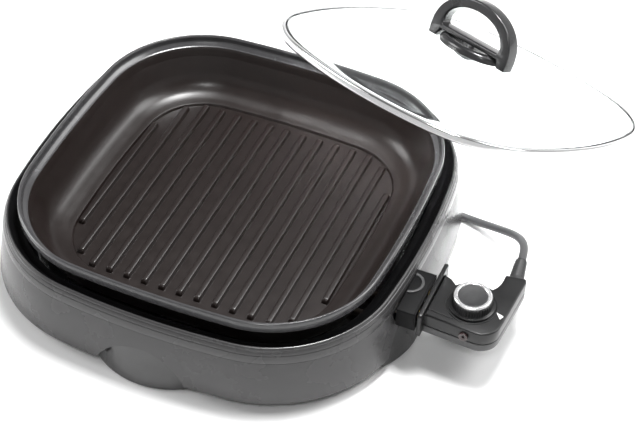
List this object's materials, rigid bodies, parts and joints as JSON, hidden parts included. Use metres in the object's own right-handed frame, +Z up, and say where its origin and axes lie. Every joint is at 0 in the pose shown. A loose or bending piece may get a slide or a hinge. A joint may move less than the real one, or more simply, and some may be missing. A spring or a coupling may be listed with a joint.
{
  "type": "electric grill pan with lid and plug-in controller",
  "caption": "Square electric grill pan: dark heated base, lift-out ridged pan, leaning glass lid with loop handle, plug-in dial controller with lead.",
  "frame": {"origin": "on the table, under the centre of the base", "axes": "+X towards the plug-in controller, -Y towards the front, +Z up"},
  "size_m": [0.4052, 0.4607, 0.1176],
  "materials": {
    "base_enamel": "semi-gloss dark grey enamel",
    "black_gloss": "glossy black phenolic",
    "black_phenolic": "satin black moulded phenolic",
    "foot_grey": "semi-gloss dark grey moulding",
    "nonstick": "die-cast aluminium with a dark non-stick coating",
    "sheet_steel": "plain pressed steel",
    "polished_steel": "polished stainless band",
    "lid_glass": "clear tempered glass, faint green",
    "silver_ring": "satin silver ring",
    "element_sheath": "oxidised heating-element sheath",
    "contact_metal": "plain brass",
    "ceramic": "glazed ceramic and pale insulating moulding",
    "rubber_black": "black rubber",
    "cord_grey": "dark grey flexible jacket",
    "lens_red": "translucent red lens"
  },
  "bodies": {
    "base": {"base_housing": "base_enamel", "top_ring": "black_gloss", "side_feet": "foot_grey", "foot_pads": "rubber_black", "bottom_cover": "sheet_steel", "bottom_screws": "sheet_steel", "reflector_tray": "polished_steel", "heating_element": "element_sheath", "element_clips": "sheet_steel", "pan_supports": "sheet_steel", "socket_block": "black_phenolic", "terminal_insulators": "ceramic"},
    "pan": {"grill_pan": "nonstick"},
    "lid": {"lid_glass": "lid_glass", "lid_rim": "polished_steel", "lid_handle": "black_gloss", "handle_base": "black_gloss", "handle_washer": "rubber_black", "handle_screw": "sheet_steel"},
    "controller": {"guard_plate": "black_phenolic", "controller_top": "black_phenolic", "controller_bottom": "black_phenolic", "probe_rod": "sheet_steel", "contact_sockets": "contact_metal", "thermostat": "ceramic", "power_contacts": "contact_metal", "neon_lamp": "lens_red", "indicator_lens": "lens_red", "case_screws": "sheet_steel", "strain_relief": "rubber_black", "supply_cord": "cord_grey", "cord_coil": "cord_grey", "cord_clip": "rubber_black", "plug_body": "rubber_black", "plug_blades": "contact_metal"},
    "dial": {"dial_knob": "black_phenolic", "dial_ring": "silver_ring", "dial_cap": "black_phenolic", "dial_shaft": "contact_metal"}
  },
  "joints": [
    {"name": "pan_lift", "type": "slide", "parent": "base", "child": "pan", "axis": [0, 0, 1], "range_m": [0, 0.12]},
    {"name": "lid_lift", "type": "slide", "parent": "pan", "child": "lid", "axis": [0, 0, 1], "range_m": [0, 0.15]},
    {"name": "controller_unplug", "type": "slide", "parent": "base", "child": "controller", "axis": [1, 0, 0], "range_m": [0, 0.05]},
    {"name": "dial_turn", "type": "hinge", "parent": "controller", "child": "dial", "pos_m": [0.1932, -0.034, 0.045], "axis": [0, 0, 1], "range_deg": [0, 270]}
  ]
}
